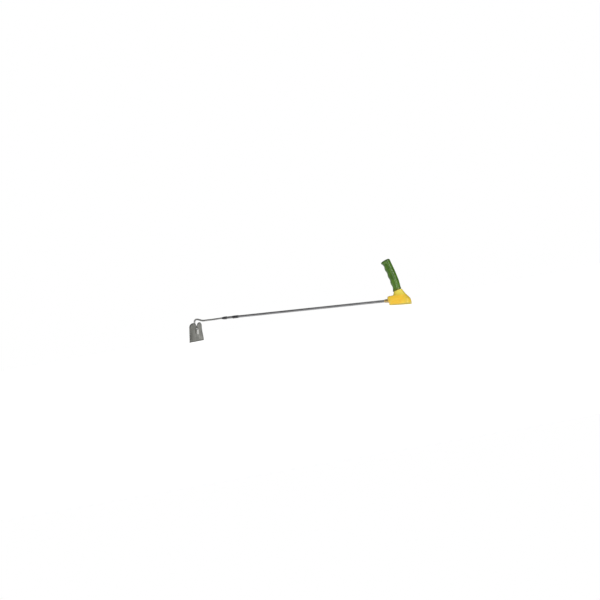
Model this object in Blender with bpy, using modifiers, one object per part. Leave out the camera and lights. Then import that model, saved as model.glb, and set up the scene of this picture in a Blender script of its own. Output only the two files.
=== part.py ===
"""One-handed long-reach weeding hoe, standing on its cutting edge and the heel of its handle.

Every piece is modelled in the tool's own axes: X runs along the shaft from the blade to the handle, Z
points up the grip, and the origin lies on the shaft's axis straight above the middle of the blade. One
empty then tilts the whole tool and sets it on the floor.
"""

import math

import bmesh
import bpy
from mathutils import Vector

MM = 0.001
GAP = 0.3 * MM  # air left between two pieces that touch on the real tool
SMALL_MERGE = 1e-5

# Shaft: a steel tube with the tang's rod pushed into its front end.
TUBE_RADIUS = 4.0 * MM
TUBE_BORE = 3.2 * MM
TUBE_FRONT = 112 * MM
TUBE_REAR = 751 * MM
TUBE_EDGE = 0.4 * MM
ROD_RADIUS = 2.9 * MM
ROD_REAR = 186 * MM
SLEEVE_WALL = 0.6 * MM
SLEEVE_EDGE = 0.5 * MM
MOUTH_FRONT = 108 * MM
MOUTH_REAR = 125 * MM
MOUTH_LIP = 3.4 * MM
MOUTH_TAPER = 9 * MM
MOUTH_NOSE = 3.7 * MM
CRIMP_FRONT = 149 * MM
CRIMP_REAR = 170 * MM
CRIMP_DIP = 0.25 * MM
CRIMP_BAND = 4 * MM  # half the length of the pressed waist
CRIMP_SHOULDER = 2 * MM
RIVET_RADIUS = 1.2 * MM
RIVET_HEAD = 2.0 * MM
RIVET_DOME = 0.6 * MM
RIVET_PLACES = {"rivet_front": 118.5 * MM, "rivet_rear": 159.5 * MM}

# Blade: a sheet that leans, its top towards the handle. The depths are below the shaft's axis.
BLADE_THICKNESS = 2.2 * MM
EDGE_THICKNESS = 0.5 * MM
BLADE_BOTTOM = 70.1 * MM
BLADE_SHOULDER = 22.0 * MM
LOBE_TOP = 6.0 * MM
LOBE_SQUARENESS = 0.8
NOTCH_FLOOR = 28.0 * MM
NOTCH_HALF_WIDTH = 4.0 * MM
LOBE_CENTRE = 19.3 * MM
SHOULDER_HALF_WIDTH = 37.6 * MM
BOTTOM_HALF_WIDTH = 44.8 * MM
SIDE_FLARE = 1.4
BEVEL_HEIGHT = 5.5 * MM
BLADE_LEAN = math.tan(math.radians(5.3))
LEAN_PIVOT = 32.2 * MM
BOW_AT_EDGE = 0.3 * MM
BOW_AT_SHOULDER = 3.4 * MM
LOBE_STEPS = 12
BLADE_ROWS = 12
ROWS_TOWARDS_EDGE = 1.15

# Swan neck: the rod's centreline ahead of the tube, as (x, z) in millimetres. It ends along the sheet.
NECK_ROUTE = (
    (88, -0.5), (70, -1.1), (46, -1.4), (34, -1.5), (26, -0.5), (17, 2.3), (9.5, 4.5), (3.4, 4.9),
    (-1.6, 2.6), (-4.2, -2.0), (-4.9, -7.5), (-3.7, -13), (-1.0, -18), (2.2, -22.6), (4.55, -27),
)
TANG_STANDOFF = BLADE_THICKNESS / 2 + GAP + ROD_RADIUS
TANG_LANDING = 33 * MM
TANG_FOOT = 46 * MM
RIVET_HOLE_REACH = 8 * MM
WELD_TOP = 30 * MM
WELD_BOTTOM = 45 * MM
WELD_BEADS = 6
WELD_OUT = BLADE_THICKNESS / 2 + 0.4 * MM
WELD_ACROSS = 2.1 * MM
# The fillet's outline as (out from the sheet, across from the rod), in millimetres.
WELD_SECTION = ((0, 0), (0, 3.4), (1.1, 2.5), (2.4, 1.35), (1.15, 0.75))

# Handle body: the moulding that holds the tube and carries the grip.
WALL = 2.6 * MM
RING_POINTS = 40
HEEL_SLOPE = -2.4
# Level: height, front x, rear x, half width (millimetres), squareness of the outline, tilt in degrees.
BODY_LEVELS = (
    (-15.6, 708.6, 773.6, 15.2, 3.8, HEEL_SLOPE),
    (-14.4, 706.8, 774.3, 16.3, 3.8, HEEL_SLOPE),
    (-8.0, 705.6, 774.0, 16.6, 3.6, -1.0),
    (-2.0, 704.2, 772.8, 16.8, 3.4, -0.5),
    (3.5, 703.0, 770.0, 16.4, 3.3, 0.0),
    (8.5, 702.2, 765.8, 15.6, 3.1, 0.0),
    (11.9, 702.6, 763.0, 14.8, 2.9, 0.0),
    (13.6, 704.8, 761.3, 13.9, 2.8, 0.5),
    (14.8, 709.6, 760.0, 13.1, 2.7, 1.5),
    (16.1, 717.2, 758.6, 12.5, 2.5, 4.0),
    (18.7, 721.0, 756.2, 12.1, 2.4, 8.0),
    (23.2, 722.9, 752.4, 12.1, 2.3, 12.0),
    (28.4, 723.6, 749.3, 12.4, 2.2, 15.5),
)
CAVITY_LEVELS = 6
CAVITY_DROP = 3 * MM  # how far the cavity's cutter starts below the base
CAVITY_LIFT = 0.2 * MM
COVER_THICKNESS = 2.5 * MM
FERRULE_FRONT = 690.5 * MM
FERRULE_REAR = 713 * MM
FERRULE_RADIUS = 6.1 * MM
FERRULE_NOSE = 4.9 * MM
FERRULE_TAPER = 10 * MM
CAVITY_ROOF = 9.5 * MM
ROOF_STEP = 1.2 * MM
PANEL_X = 736 * MM
PANEL_Z = -1.5 * MM
PANEL_HALF_LENGTH = 16 * MM
PANEL_HALF_HEIGHT = 6.2 * MM
PANEL_FLOOR = 16.2 * MM
PANEL_REACH = 21 * MM
PANEL_STEPS = 24

# Fixings inside the body.
POST_RADIUS = 3.0 * MM
SCREW_RADIUS = 1.2 * MM
SCREW_HEAD_RADIUS = 2.5 * MM
SCREW_HEAD_HEIGHT = 1.5 * MM
SCREW_SINK = 0.25 * MM
SCREW_POINT = 1.6 * MM
RECESS_ARM = 1.45 * MM
RECESS_HALF_WIDTH = 0.3 * MM
RECESS_DEPTH = 0.9 * MM
COVER_SCREW_LENGTH = 11 * MM
COVER_PILOT = 13 * MM
CLAMP_PILOT = 8 * MM
CAP_PILOT = 14 * MM
OVERSHOOT = 2 * MM  # how far a drill starts outside the piece
CLAMP_SCREW_LENGTH = 17 * MM
GRIP_SCREW_LENGTH = 13 * MM
CLAMP_X = 739 * MM
FIXING_SIDE = 9.7 * MM
COVER_SCREWS = {
    "cover_screw_left": (725 * MM, -7.7 * MM),
    "cover_screw_right": (725 * MM, 7.7 * MM),
    "cover_screw_rear": (762 * MM, 0.0),
}
CLAMP_SCREWS = {"clamp_screw_left": -FIXING_SIDE, "clamp_screw_right": FIXING_SIDE}
SADDLE_LENGTH = 16 * MM
SADDLE_HALF_WIDTH = 13 * MM
SADDLE_FLOOR = -9.0 * MM
PIN_RADIUS = 1.5 * MM
PIN_EDGE = 0.3 * MM
PIN_PROUD = 1 * MM
PLUG_FLANGE = 1.5 * MM
PLUG_LENGTH = 7 * MM

# Grip: an oval sleeve on a core that leans towards the blade.
GRIP_FOOT = Vector((735.2 * MM, 0.0, 28.9 * MM))
GRIP_LEAN = math.radians(17.3)
GRIP_UP = Vector((-math.sin(GRIP_LEAN), 0.0, math.cos(GRIP_LEAN)))
GRIP_BACK = Vector((math.cos(GRIP_LEAN), 0.0, math.sin(GRIP_LEAN)))
GRIP_LENGTH = 98 * MM
GRIP_POINTS = 32
GRIP_ROWS = 38
GRIP_FRONT = 12.2 * MM
GRIP_REAR = 12.5 * MM
GRIP_SIDE = 13.0 * MM
GRIP_SQUARENESS = 2.15
GRIP_BEND = 1.9 * MM
PALM_SWELL = 2.2 * MM
PALM_START = 30 * MM
GROOVE_PITCH = 22.7 * MM
FIRST_RIDGE = 2.5 * MM
GROOVE_DEPTH = 1.9 * MM
FOOT_FLARE = 2.0 * MM
TOP_FLARE = 2.4 * MM
FLARE_LENGTH = 7 * MM
GRIP_FOOT_EDGE = 0.6 * MM
CAP_THICKNESS = 4.5 * MM
CAP_SLOPE = math.tan(math.radians(8))
CAP_SCREW_SINK = 0.6 * MM
CAP_FOOT_INSET = 0.2 * MM
# The cap's rounding: share of its height, inset all round, and further inset at the palm (millimetres).
CAP_ROUNDING = ((0.4, 0.25, 0.3), (0.7, 0.5, 0.9), (0.9, 1.0, 2.0), (1.0, 1.7, 3.5))
BORE_OVERSHOOT = 5 * MM
CORE_DEPTH = 6.4 * MM
CORE_SIDE = 7.4 * MM
CORE_BACK = 1.0 * MM
CORE_ROOT = -10 * MM
CORE_BORE = 3.6 * MM
CORE_BORE_START = -24 * MM
CORE_BORE_END = 70 * MM

# Finishes: colour, roughness, metallic.
FINISHES = {
    "blade_steel": ((0.21, 0.21, 0.19), 0.42, 1.0),
    "weld_steel": ((0.17, 0.17, 0.16), 0.55, 1.0),
    "shaft_steel": ((0.24, 0.24, 0.25), 0.30, 1.0),
    "dark_steel": ((0.04, 0.04, 0.045), 0.45, 1.0),
    "ferrule_brass": ((0.42, 0.31, 0.14), 0.40, 1.0),
    "yellow_plastic": ((0.86, 0.52, 0.04), 0.38, 0.0),
    "nylon": ((0.10, 0.10, 0.10), 0.5, 0.0),
    "screw_steel": ((0.40, 0.40, 0.42), 0.30, 1.0),
    "green_rubber": ((0.05, 0.16, 0.02), 0.45, 0.0),
    "green_cap": ((0.03, 0.10, 0.015), 0.45, 0.0),
}


def clear_scene():
    for obj in list(bpy.data.objects):
        bpy.data.objects.remove(obj, do_unlink=True)


def new_collection(name):
    made = bpy.data.collections.new(name)
    bpy.context.scene.collection.children.link(made)
    return made


def finish(name):
    """The material of that name, made on first use."""
    found = bpy.data.materials.get(name)
    if found:
        return found
    colour, roughness, metallic = FINISHES[name]
    made = bpy.data.materials.new(name)
    made.use_nodes = True
    shader = made.node_tree.nodes["Principled BSDF"]
    shader.inputs["Base Color"].default_value = (*colour, 1.0)
    shader.inputs["Roughness"].default_value = roughness
    shader.inputs["Metallic"].default_value = metallic
    return made


def add_part(name, mesh, finish_name):
    obj = bpy.data.objects.new(name, mesh)
    parts.objects.link(obj)
    obj.parent = tool
    mesh.materials.clear()
    mesh.materials.append(finish(finish_name))
    mesh.shade_smooth()
    mesh.set_sharp_from_angle(angle=math.radians(35))
    return obj


def add_helper(name, mesh):
    """A cutter, or a shape to be joined to a part: never a node of its own."""
    obj = bpy.data.objects.new(name, mesh)
    helpers.objects.link(obj)
    obj.parent = tool
    obj.hide_render = True
    obj.display_type = "WIRE"
    return obj


def apply_boolean(part, operation, name, mesh):
    other = add_helper(f"{part.name}_{name}", mesh)
    modifier = part.modifiers.new(name, "BOOLEAN")
    modifier.operation = operation
    modifier.solver = "EXACT"
    modifier.object = other


def cut(part, name, mesh):
    apply_boolean(part, "DIFFERENCE", name, mesh)


def join(part, name, mesh):
    apply_boolean(part, "UNION", name, mesh)


def drill(part, name, start, end, radius, sides=12):
    cut(part, name, cylinder(name, start, end, radius, sides))


def mesh_from(shape, name):
    shape.normal_update()
    bmesh.ops.recalc_face_normals(shape, faces=shape.faces)
    mesh = bpy.data.meshes.new(name)
    shape.to_mesh(mesh)
    shape.free()
    return mesh


def oval(centre, back, front_depth, rear_depth, side, squareness=2.0, points=RING_POINTS):
    """A closed outline round centre: back is its depth direction, and Y its width."""
    ring = []
    for step in range(points):
        angle = math.tau * step / points
        along, across = math.cos(angle), math.sin(angle)
        depth = rear_depth if along > 0 else front_depth
        power = 2 / squareness
        along = math.copysign(abs(along) ** power, along)
        across = math.copysign(abs(across) ** power, across)
        ring.append(centre + back * depth * along + Vector((0, side * across, 0)))
    return ring


def loft(name, rings):
    """A closed solid through rings of equal length, with flat ends."""
    shape = bmesh.new()
    loops = [[shape.verts.new(point) for point in ring] for ring in rings]
    for low, high in zip(loops, loops[1:]):
        for here in range(len(low)):
            after = (here + 1) % len(low)
            shape.faces.new((low[here], low[after], high[after], high[here]))
    shape.faces.new(loops[0])
    shape.faces.new(loops[-1])
    return mesh_from(shape, name)


def cylinder(name, start, end, radius, sides=20):
    """A closed cylinder whose axis runs from start to end."""
    start, end = Vector(start), Vector(end)
    shape = bmesh.new()
    bmesh.ops.create_cone(
        shape, cap_ends=True, segments=sides, radius1=radius, radius2=radius, depth=(end - start).length
    )
    turn = (end - start).to_track_quat("Z", "Y")
    for vert in shape.verts:
        vert.co = turn @ vert.co + (start + end) / 2
    return mesh_from(shape, name)


def box(name, low, high):
    low, high = Vector(low), Vector(high)
    shape = bmesh.new()
    bmesh.ops.create_cube(shape, size=1)
    for vert in shape.verts:
        vert.co = Vector(c * s for c, s in zip(vert.co, high - low)) + (low + high) / 2
    return mesh_from(shape, name)


def add_turned(name, profile, finish_name, sides=24, closed=False):
    """A turned piece: profile is (radius, height) down its outer side, turned about the piece's own Z."""
    shape = bmesh.new()
    verts = [shape.verts.new((radius, 0, height)) for radius, height in profile]
    for first, second in zip(verts, verts[1:]):
        shape.edges.new((first, second))
    if closed:
        shape.edges.new((verts[-1], verts[0]))
    mesh = bpy.data.meshes.new(name)
    shape.to_mesh(mesh)
    shape.free()
    obj = add_part(name, mesh, finish_name)
    spin = obj.modifiers.new("spin", "SCREW")
    spin.axis = "Z"
    spin.steps = sides
    spin.render_steps = sides
    spin.use_merge_vertices = True
    spin.merge_threshold = SMALL_MERGE
    return obj


def add_ring_on_shaft(name, outer, bore, finish_name, sides=24):
    """A turned ring round the shaft. outer and bore are (radius, x), each from the blade backwards."""
    profile = list(reversed(outer)) + list(bore)
    ring = add_turned(name, profile, finish_name, sides, closed=True)
    ring.rotation_euler = (0, math.pi / 2, 0)
    return ring


def ease(value, low, high):
    share = min(max((value - low) / (high - low), 0.0), 1.0)
    return share * share * (3 - 2 * share)


def blade_columns():
    """(half-width share, top height) of each column of the blade, from its left side to its right."""
    right = []
    for step in range(LOBE_STEPS + 1):
        angle = math.pi * step / LOBE_STEPS
        inner = LOBE_CENTRE - NOTCH_HALF_WIDTH
        outer = SHOULDER_HALF_WIDTH - LOBE_CENTRE
        reach = inner if angle < math.pi / 2 else outer
        across = LOBE_CENTRE - reach * math.cos(angle)
        top = -BLADE_SHOULDER + (BLADE_SHOULDER - LOBE_TOP) * math.sin(angle) ** LOBE_SQUARENESS
        right.append((across / SHOULDER_HALF_WIDTH, top))
    notch_side = (right[0][0], -NOTCH_FLOOR)
    right.insert(0, (notch_side[0] * 0.97, -NOTCH_FLOOR))
    left = [(-share, top) for share, top in reversed(right)]
    return left + [(0.0, -NOTCH_FLOOR)] + right


def blade_half_width(height):
    low = max(-height - BLADE_SHOULDER, 0.0) / (BLADE_BOTTOM - BLADE_SHOULDER)
    return SHOULDER_HALF_WIDTH + (BOTTOM_HALF_WIDTH - SHOULDER_HALF_WIDTH) * low**SIDE_FLARE


def sheet_x(across, height):
    """Where the sheet's middle layer is: it leans, and its sides bow away from the handle."""
    rise = ease(height, -BLADE_BOTTOM, -BLADE_SHOULDER)
    bow = BOW_AT_EDGE + (BOW_AT_SHOULDER - BOW_AT_EDGE) * rise
    return BLADE_LEAN * (height + LEAN_PIVOT) - bow * (abs(across) / SHOULDER_HALF_WIDTH) ** 1.5


def build_blade():
    """A bowed sheet: two faces over one grid of columns and rows, closed all round its rim."""
    shape = bmesh.new()
    faces = {-1: [], 1: []}
    for share, top in blade_columns():
        for side in faces:
            column = []
            for row in range(BLADE_ROWS + 1):
                height = -BLADE_BOTTOM + (top + BLADE_BOTTOM) * (row / BLADE_ROWS) ** ROWS_TOWARDS_EDGE
                across = share * blade_half_width(height)
                ground = min((height + BLADE_BOTTOM) / BEVEL_HEIGHT, 1.0)
                thick = EDGE_THICKNESS + (BLADE_THICKNESS - EDGE_THICKNESS) * ground
                depth = (thick if side > 0 else 0.0) - BLADE_THICKNESS / 2
                column.append(shape.verts.new((sheet_x(across, height) + depth, across, height)))
            faces[side].append(column)
    back, front = faces[-1], faces[1]
    last = len(front) - 1
    for grid in (back, front):
        for here in range(last):
            for row in range(BLADE_ROWS):
                shape.faces.new(
                    (grid[here][row], grid[here + 1][row], grid[here + 1][row + 1], grid[here][row + 1])
                )
    for row in range(BLADE_ROWS):
        for end in (0, last):
            shape.faces.new((front[end][row], front[end][row + 1], back[end][row + 1], back[end][row]))
    for here in range(last):
        for row in (0, BLADE_ROWS):
            shape.faces.new((front[here][row], front[here + 1][row], back[here + 1][row], back[here][row]))
    add_part("blade", mesh_from(shape, "blade"), "blade_steel")


def smooth_route(points, steps=3):
    """A Catmull-Rom curve through the points."""
    padded = [2 * points[0] - points[1], *points, 2 * points[-1] - points[-2]]
    route = []
    for p0, p1, p2, p3 in zip(padded, padded[1:], padded[2:], padded[3:]):
        square, cubic = 2 * p0 - 5 * p1 + 4 * p2 - p3, 3 * p1 - p0 - 3 * p2 + p3
        for step in range(steps):
            t = step / steps
            route.append(p1 + 0.5 * ((p2 - p0) * t + square * t**2 + cubic * t**3))
    return [*route, points[-1]]


def tube_mesh(name, points, radius):
    """A closed round bar along the points, as a mesh that a Boolean can cut."""
    curve = bpy.data.curves.new(name, "CURVE")
    curve.dimensions = "3D"
    curve.bevel_depth = radius
    curve.bevel_resolution = 3
    curve.use_fill_caps = True
    spline = curve.splines.new("POLY")
    spline.points.add(len(points) - 1)
    for point, place in zip(spline.points, points):
        point.co = (*place, 1)
    guide = bpy.data.objects.new(name, curve)
    helpers.objects.link(guide)
    bpy.context.view_layer.update()
    graph = bpy.context.evaluated_depsgraph_get()
    mesh = bpy.data.meshes.new_from_object(guide.evaluated_get(graph))
    bpy.data.objects.remove(guide)
    shape = bmesh.new()
    shape.from_mesh(mesh)
    bmesh.ops.remove_doubles(shape, verts=shape.verts, dist=SMALL_MERGE)
    bpy.data.meshes.remove(mesh)
    return mesh_from(shape, name)


def build_tang():
    """The swan-necked rod: from inside the tube, over a hump, through the notch and down the blade."""
    neck = [Vector((x * MM, 0, z * MM)) for x, z in NECK_ROUTE]
    sheet = [Vector((sheet_x(0, -depth) + TANG_STANDOFF, 0, -depth)) for depth in (TANG_LANDING, TANG_FOOT)]
    inside = [Vector((x, 0, 0)) for x in (ROD_REAR, TUBE_FRONT, MOUTH_FRONT - 10 * MM)]
    route = inside + smooth_route(neck + sheet)
    tang = add_part("tang", tube_mesh("tang", route, ROD_RADIUS), "shaft_steel")
    for name, place in RIVET_PLACES.items():
        cut(tang, f"{name}_hole", rivet_hole(name, place))


def rivet_hole(name, place):
    low, high = (place, -RIVET_HOLE_REACH, 0), (place, RIVET_HOLE_REACH, 0)
    return cylinder(f"{name}_hole", low, high, RIVET_RADIUS + GAP, sides=16)


def build_welds():
    """A fillet on each side of the tang's foot, swelling and thinning along its length."""
    for name, side in (("weld_left", -1), ("weld_right", 1)):
        rings = []
        for step in range(2 * WELD_BEADS + 1):
            share = step / (2 * WELD_BEADS)
            swell = (0.55 + 0.45 * math.sin(math.pi * share) ** 0.5) * (1 - 0.08 * (step % 2))
            height = -WELD_TOP - (WELD_BOTTOM - WELD_TOP) * share
            ring = []
            for out, across in WELD_SECTION:
                x = sheet_x(0, height) + WELD_OUT + out * MM * swell
                y = side * (WELD_ACROSS + across * MM * (1 if across < 1 else swell))
                ring.append(Vector((x, y, height)))
            rings.append(ring)
        add_part(name, loft(name, rings), "weld_steel")


def build_shaft():
    tube_outside = [
        (TUBE_RADIUS - TUBE_EDGE, TUBE_FRONT), (TUBE_RADIUS, TUBE_FRONT + TUBE_EDGE),
        (TUBE_RADIUS, TUBE_REAR),
    ]
    tube_inside = [(TUBE_BORE, TUBE_FRONT), (TUBE_BORE, TUBE_REAR)]
    tube = add_ring_on_shaft("shaft_tube", tube_outside, tube_inside, "shaft_steel")
    inner = TUBE_RADIUS + GAP
    outer = inner + SLEEVE_WALL
    lip = MOUTH_FRONT + MOUTH_LIP
    mouth_outside = [
        (MOUTH_NOSE, MOUTH_FRONT), (outer, MOUTH_FRONT + MOUTH_TAPER),
        (outer, MOUTH_REAR - SLEEVE_EDGE), (outer - SLEEVE_EDGE, MOUTH_REAR),
    ]
    throat = ROD_RADIUS + GAP
    mouth_inside = [(throat, MOUTH_FRONT), (throat, lip), (inner, lip), (inner, MOUTH_REAR)]
    mouth = add_ring_on_shaft("mouth_ferrule", mouth_outside, mouth_inside, "dark_steel")
    middle = (CRIMP_FRONT + CRIMP_REAR) / 2
    waist, shoulder = outer - CRIMP_DIP, CRIMP_BAND + CRIMP_SHOULDER
    crimp_outside = [
        (outer - SLEEVE_EDGE, CRIMP_FRONT), (outer, CRIMP_FRONT + SLEEVE_EDGE),
        (outer, middle - shoulder), (waist, middle - CRIMP_BAND),
        (waist, middle + CRIMP_BAND), (outer, middle + shoulder),
        (outer, CRIMP_REAR - SLEEVE_EDGE), (outer - SLEEVE_EDGE, CRIMP_REAR),
    ]
    crimp_inside = [(inner, CRIMP_FRONT), (inner, CRIMP_REAR)]
    crimp = add_ring_on_shaft("crimp_sleeve", crimp_outside, crimp_inside, "dark_steel")
    for name, sleeve in (("rivet_front", mouth), ("rivet_rear", crimp)):
        place = RIVET_PLACES[name]
        cut(tube, f"{name}_hole", rivet_hole(name, place))
        cut(sleeve, f"{name}_hole", rivet_hole(name, place))
        build_rivet(name, place, outer + GAP)


def build_rivet(name, place, seat):
    """A rivet across the shaft, with a domed head on both sides."""
    half = [
        (0, seat + RIVET_DOME), (RIVET_HEAD * 0.62, seat + RIVET_DOME * 0.8),
        (RIVET_HEAD, seat + RIVET_DOME * 0.25), (RIVET_HEAD, seat), (RIVET_RADIUS, seat),
    ]
    profile = half + [(radius, -height) for radius, height in reversed(half)]
    rivet = add_turned(name, profile, "dark_steel", sides=16)
    rivet.rotation_euler = (math.pi / 2, 0, 0)
    rivet.location = (place, 0, 0)


def body_ring(level, inset=0.0, lift=0.0):
    height, front, rear, side, squareness, tilt = level
    centre = Vector(((front + rear) / 2 * MM, 0, height * MM + lift))
    back = Vector((1, 0, math.tan(math.radians(tilt))))
    depth = (rear - front) / 2 * MM - inset
    return oval(centre, back, depth, depth, side * MM - inset, squareness)


def grip_point(along, back=0.0):
    return GRIP_FOOT + GRIP_UP * along + GRIP_BACK * back


def core_rings(places, grow=0.0):
    rings = []
    for place in places:
        centre = grip_point(place, CORE_BACK)
        depth = CORE_DEPTH + grow
        rings.append(oval(centre, GRIP_BACK, depth, depth, CORE_SIDE + grow, points=24))
    return rings


def build_body():
    """The yellow moulding: a hollow base open underneath, a neck, and the core inside the grip."""
    outside = loft("handle_body", [body_ring(level) for level in BODY_LEVELS])
    body = add_part("handle_body", outside, "yellow_plastic")
    top = GRIP_LENGTH - CAP_THICKNESS - GAP
    join(body, "core", loft("core", core_rings([CORE_ROOT, top])))
    below = body_ring(BODY_LEVELS[0], inset=WALL, lift=-CAVITY_DROP)
    hollow = [body_ring(level, WALL, CAVITY_LIFT) for level in BODY_LEVELS[:CAVITY_LEVELS]]
    last = BODY_LEVELS[CAVITY_LEVELS - 1]
    roof = body_ring(last, inset=WALL + ROOF_STEP, lift=CAVITY_ROOF - last[0] * MM)
    cut(body, "cavity", loft("cavity", [below, *hollow, roof]))
    post_top = CAVITY_ROOF + ROOF_STEP
    pilot = SCREW_RADIUS + GAP
    for name, (x, y) in COVER_SCREWS.items():
        foot = cover_height(x) + COVER_THICKNESS + GAP
        join(body, f"{name}_post", cylinder("post", (x, y, foot), (x, y, post_top), POST_RADIUS, 16))
        drill(body, f"{name}_pilot", (x, y, foot - OVERSHOOT), (x, y, foot + COVER_PILOT), pilot)
    for name, y in CLAMP_SCREWS.items():
        post = cylinder("post", (CLAMP_X, y, GAP), (CLAMP_X, y, post_top), POST_RADIUS, 16)
        join(body, f"{name}_post", post)
        drill(body, f"{name}_pilot", (CLAMP_X, y, -OVERSHOOT), (CLAMP_X, y, CLAMP_PILOT), pilot)
    nose_end = (FERRULE_REAR + GAP, 0, 0)
    drill(body, "nose_hole", (FERRULE_FRONT, 0, 0), nose_end, FERRULE_RADIUS + GAP, 28)
    drill(body, "core_bore", grip_point(CORE_BORE_START), grip_point(CORE_BORE_END), CORE_BORE, 20)
    drill(body, "cap_pilot", grip_point(top - CAP_PILOT), grip_point(top + OVERSHOOT), pilot)
    for side in (-1, 1):
        cut(body, f"panel_{'right' if side > 0 else 'left'}", panel_cutter(side))


def panel_cutter(side):
    """A lens-shaped block that leaves a shallow plain panel in one side of the base."""
    outline = []
    for step in range(PANEL_STEPS):
        turn = math.tau * step / PANEL_STEPS
        along = math.cos(turn)
        up = math.copysign(1 - along * along, math.sin(turn))
        outline.append((PANEL_X + PANEL_HALF_LENGTH * along, PANEL_Z + PANEL_HALF_HEIGHT * up))
    rings = [[Vector((x, side * y, z)) for x, z in outline] for y in (PANEL_FLOOR, PANEL_REACH)]
    return loft("panel", rings)


def cover_height(x):
    """Height of the body's flat underside at x."""
    height, front, rear = BODY_LEVELS[0][:3]
    return height * MM + (x - (front + rear) / 2 * MM) * math.tan(math.radians(HEEL_SLOPE))


def build_cover():
    inset = WALL + GAP
    rings = [body_ring(BODY_LEVELS[0], inset), body_ring(BODY_LEVELS[0], inset, COVER_THICKNESS)]
    cover = add_part("base_cover", loft("base_cover", rings), "yellow_plastic")
    for name, (x, y) in COVER_SCREWS.items():
        foot = cover_height(x)
        below = (x, y, foot - OVERSHOOT)
        seat = (x, y, foot + SCREW_SINK + SCREW_HEAD_HEIGHT + GAP)
        drill(cover, f"{name}_hole", below, (x, y, foot + COVER_THICKNESS + OVERSHOOT), SCREW_RADIUS + GAP)
        drill(cover, f"{name}_sink", below, seat, SCREW_HEAD_RADIUS + GAP, 20)
        add_screw(name, (x, y, foot + SCREW_SINK), Vector((0, 0, 1)), COVER_SCREW_LENGTH)


def add_screw(name, head_top, inward, length):
    """A pan-head screw whose head's outer face is at head_top and whose point is length further inward."""
    profile = [
        (0, 0), (SCREW_HEAD_RADIUS * 0.8, 0), (SCREW_HEAD_RADIUS, -0.35 * MM),
        (SCREW_HEAD_RADIUS, -SCREW_HEAD_HEIGHT), (SCREW_RADIUS, -SCREW_HEAD_HEIGHT),
        (SCREW_RADIUS, -length + SCREW_POINT), (0, -length),
    ]
    screw = add_turned(name, profile, "screw_steel", sides=16)
    turn = (-inward).to_track_quat("Z", "Y")
    screw.rotation_mode = "QUATERNION"
    screw.rotation_quaternion = turn
    screw.location = head_top
    arm, half = RECESS_ARM, RECESS_HALF_WIDTH
    for direction, (x, y) in (("long", (arm, half)), ("cross", (half, arm))):
        recess = box("recess", (-x, -y, -RECESS_DEPTH), (x, y, 1 * MM))
        for vert in recess.vertices:
            vert.co = turn @ vert.co + Vector(head_top)
        cut(screw, f"recess_{direction}", recess)


def build_clamp():
    """What holds the tube inside the body: saddle, two screws, a cross pin and the tube's end plug."""
    half = SADDLE_LENGTH / 2
    low = (CLAMP_X - half, -SADDLE_HALF_WIDTH, SADDLE_FLOOR)
    block = box("clamp_saddle", low, (CLAMP_X + half, SADDLE_HALF_WIDTH, 0))
    saddle = add_part("clamp_saddle", block, "nylon")
    reach = half + OVERSHOOT
    drill(saddle, "channel", (CLAMP_X - reach, 0, 0), (CLAMP_X + reach, 0, 0), TUBE_RADIUS + GAP, 24)
    below, above = SADDLE_FLOOR - OVERSHOOT, OVERSHOOT
    for name, y in CLAMP_SCREWS.items():
        drill(saddle, f"{name}_hole", (CLAMP_X, y, below), (CLAMP_X, y, above), SCREW_RADIUS + GAP)
        head_top = (CLAMP_X, y, SADDLE_FLOOR - GAP - SCREW_HEAD_HEIGHT)
        add_screw(name, head_top, Vector((0, 0, 1)), CLAMP_SCREW_LENGTH)
    tube = bpy.data.objects["shaft_tube"]
    pin_hole, reach = PIN_RADIUS + GAP, TUBE_RADIUS + OVERSHOOT
    drill(saddle, "pin_hole", (CLAMP_X, 0, below), (CLAMP_X, 0, above), pin_hole, 16)
    drill(tube, "pin_hole", (CLAMP_X, 0, -reach), (CLAMP_X, 0, reach), pin_hole, 16)
    build_pin(SADDLE_FLOOR + GAP, TUBE_RADIUS + PIN_PROUD)
    build_plug()


def build_pin(low, high):
    slim = PIN_RADIUS - PIN_EDGE
    profile = [
        (0, high), (slim, high), (PIN_RADIUS, high - PIN_EDGE),
        (PIN_RADIUS, low + PIN_EDGE), (slim, low), (0, low),
    ]
    pin = add_turned("anchor_pin", profile, "screw_steel", sides=16)
    pin.location = (CLAMP_X, 0, 0)


def build_plug():
    stem, seat = TUBE_BORE - GAP, TUBE_REAR + GAP
    profile = [
        (0, seat + PLUG_FLANGE), (TUBE_RADIUS, seat + PLUG_FLANGE), (TUBE_RADIUS, seat),
        (stem, seat), (stem, TUBE_REAR - PLUG_LENGTH + 1 * MM), (0, TUBE_REAR - PLUG_LENGTH),
    ]
    plug = add_turned("tube_plug", profile, "nylon", sides=20)
    plug.rotation_euler = (0, math.pi / 2, 0)


def build_nose_ferrule():
    bore = TUBE_RADIUS + GAP
    outside = [
        (FERRULE_NOSE, FERRULE_FRONT), (FERRULE_RADIUS, FERRULE_FRONT + FERRULE_TAPER),
        (FERRULE_RADIUS, FERRULE_REAR),
    ]
    inside = [(bore, FERRULE_FRONT), (bore, FERRULE_REAR)]
    add_ring_on_shaft("nose_ferrule", outside, inside, "ferrule_brass", sides=28)


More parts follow.
